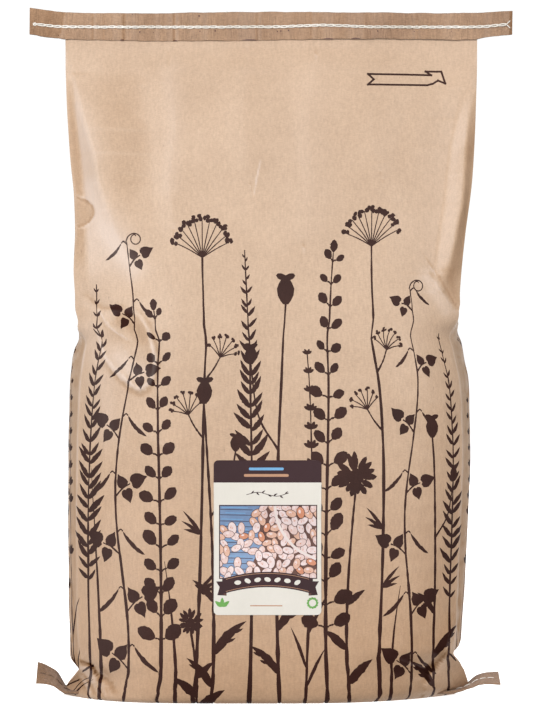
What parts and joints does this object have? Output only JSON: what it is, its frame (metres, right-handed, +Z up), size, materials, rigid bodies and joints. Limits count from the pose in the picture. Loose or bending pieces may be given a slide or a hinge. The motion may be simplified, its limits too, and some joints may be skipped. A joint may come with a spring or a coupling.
{
  "type": "paper sack of dried beans",
  "caption": "Standing side-gusseted kraft paper sack filled with dried beans, sewn shut through a folded paper tape at top and bottom, with a printed front and a stuck-on label.",
  "frame": {"origin": "bottom centre of the bounding box: floor level, mid width, mid depth", "axes": "+Z up through the height of the sack, +X to the viewer's right across its width, -Y out of the printed front face"},
  "size_m": [0.402, 0.1507, 0.572],
  "materials": {
    "kraft_paper": "matt natural kraft with a slight sheen on creases, printed in dark brown",
    "tape_paper": "matt darker creped kraft tape",
    "seam_tape_paper": "matt darker creped kraft tape",
    "thread": "twisted natural white cotton",
    "label_paper": "smooth coated label paper, soft gloss"
  },
  "bodies": {
    "root": {"sack": "kraft_paper", "top_tape": "tape_paper", "top_chain": "thread", "top_stitches": "thread", "bottom_tape": "seam_tape_paper", "bottom_chain": "thread", "bottom_stitches": "thread", "label": "label_paper"}
  },
  "joints": []
}
